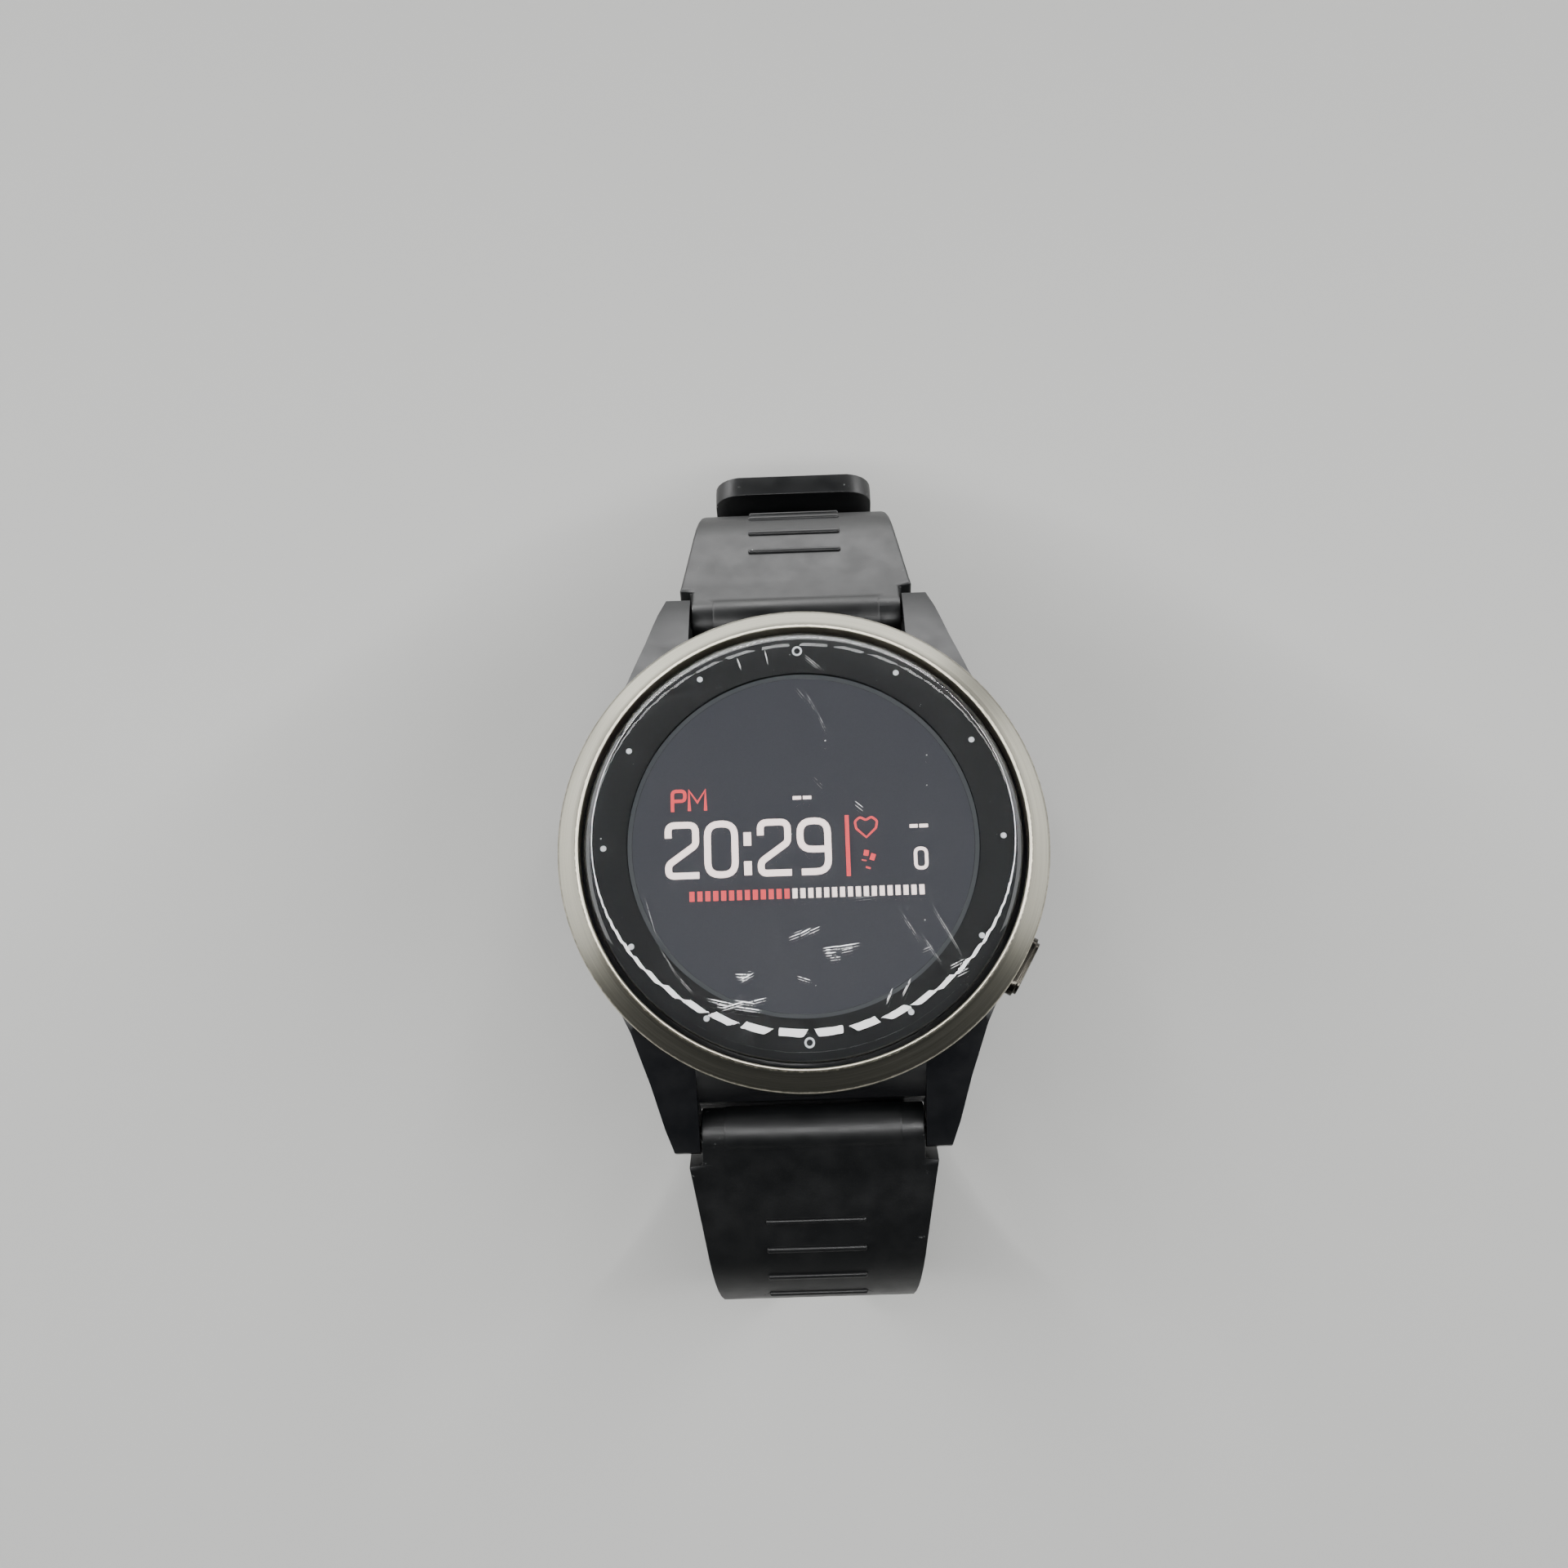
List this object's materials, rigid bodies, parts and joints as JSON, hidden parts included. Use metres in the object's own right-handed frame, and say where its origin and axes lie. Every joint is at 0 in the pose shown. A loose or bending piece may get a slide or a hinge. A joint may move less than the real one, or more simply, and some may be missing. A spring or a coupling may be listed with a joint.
{
  "type": "fitness tracker watch",
  "caption": "Round fitness watch with a domed glass, sloping metal bezel, side button and a two-piece moulded strap with buckle.",
  "frame": {"origin": "on the ground under the dial's axis, at the flat stretch of the strap the watch stands on", "axes": "+Z out of the dial, +Y towards twelve o'clock, +X towards three o'clock"},
  "size_m": [0.0436, 0.0826, 0.0451],
  "materials": {
    "gunmetal": "conical brushed bezel, dark gunmetal",
    "case_black": "fibre-reinforced polymer, matte slate black",
    "glass": "domed cover glass with a black printed border",
    "rubber": "matte thermoplastic polyurethane",
    "seal": "black seal rubber",
    "steel": "bright stainless steel",
    "dark_steel": "stainless steel with a dark coating",
    "panel": "round colour display panel",
    "board": "green circuit board",
    "cell": "foil pouch cell",
    "gold": "gold-plated contact",
    "frame_grey": "moulded polymer",
    "button_gloss": "dark glossy pusher"
  },
  "bodies": {
    "case": {"mid_case": "case_black", "bezel_ring": "gunmetal", "cover_glass": "glass", "glass_gasket": "seal", "display_panel": "panel", "display_frame": "frame_grey", "inner_frame": "frame_grey", "main_board": "board", "battery": "cell", "vibration_motor": "steel", "sensor_board": "board", "sensor_window": "button_gloss", "back_cover": "frame_grey", "back_seal": "seal", "button_bush": "steel", "button_seal": "seal", "button_switch": "steel", "back_screw_1": "dark_steel", "back_screw_2": "dark_steel", "back_screw_3": "dark_steel", "back_screw_4": "dark_steel", "charge_contact_left": "gold", "charge_contact_right": "gold"},
    "button": {"side_button": "button_gloss", "button_clip": "steel"},
    "buckle_half": {"strap_buckle_half": "rubber", "spring_bar_twelve": "steel", "fixed_keeper": "rubber", "buckle_bar": "steel"},
    "lever_twelve": {"release_lever_twelve": "steel"},
    "keeper": {"sliding_keeper": "rubber"},
    "buckle": {"buckle_frame": "dark_steel"},
    "tongue": {"buckle_tongue": "dark_steel"},
    "hole_half": {"strap_hole_half": "rubber", "spring_bar_six": "steel"},
    "lever_six": {"release_lever_six": "steel"}
  },
  "joints": [
    {"name": "button_press", "type": "slide", "parent": "case", "child": "button", "axis": [-0.8704, 0.4924, 0], "range_m": [0, 0.0005], "stiffness_N_per_m": 3000},
    {"name": "hole_half_hinge", "type": "hinge", "parent": "case", "child": "hole_half", "pos_m": [0, -0.0241, 0.0332], "axis": [-1, 0, 0], "range_deg": [0, 70]},
    {"name": "buckle_half_hinge", "type": "hinge", "parent": "case", "child": "buckle_half", "pos_m": [0, 0.0241, 0.0332], "axis": [1, 0, 0], "range_deg": [-8, 5]},
    {"name": "lever_twelve_slide", "type": "slide", "parent": "buckle_half", "child": "lever_twelve", "axis": [1, 0, 0], "range_m": [0, 0.0012], "stiffness_N_per_m": 500},
    {"name": "lever_six_slide", "type": "slide", "parent": "hole_half", "child": "lever_six", "axis": [-1, 0, 0], "range_m": [0, 0.0012], "stiffness_N_per_m": 500},
    {"name": "keeper_slide", "type": "slide", "parent": "buckle_half", "child": "keeper", "axis": [0, -0.9659, 0.2588], "range_m": [-0.008, 0.008]},
    {"name": "buckle_hinge", "type": "hinge", "parent": "buckle_half", "child": "buckle", "pos_m": [0, -0.00871, 0.01729], "axis": [1, 0, 0], "range_deg": [-47, 10]},
    {"name": "tongue_hinge", "type": "hinge", "parent": "buckle", "child": "tongue", "pos_m": [0, -0.00871, 0.01729], "axis": [1, 0, 0], "range_deg": [0, 55]}
  ]
}
